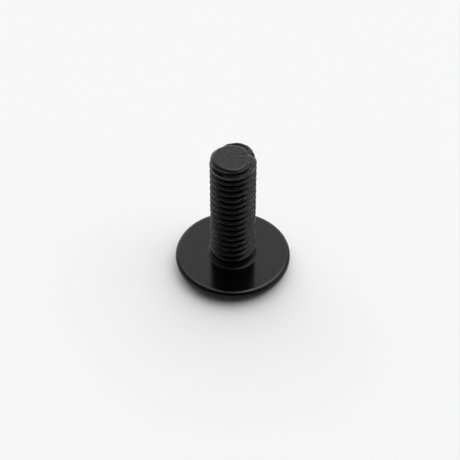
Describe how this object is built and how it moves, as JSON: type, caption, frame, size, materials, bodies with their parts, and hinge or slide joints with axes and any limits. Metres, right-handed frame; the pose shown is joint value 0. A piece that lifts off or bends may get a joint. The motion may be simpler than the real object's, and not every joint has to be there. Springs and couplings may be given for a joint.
{
  "type": "bolt",
  "caption": "Short black machine bolt with a wide, low, flat head, a smooth neck and a right-hand metric thread, standing on its head.",
  "frame": {"origin": "centre of the head's flat crown, which is the face that the bolt stands on", "axes": "+Z along the bolt's axis, from the crown of the head to the tip of the shank; +X to the right and +Y away in the picture's view; the flats of the socket face -Y and +Y"},
  "size_m": [0.0153, 0.0152, 0.0192],
  "materials": {
    "black_steel": "black coated steel, satin, smooth on the head and a little rougher on the thread"
  },
  "bodies": {
    "root": {"bolt": "black_steel"}
  },
  "joints": []
}
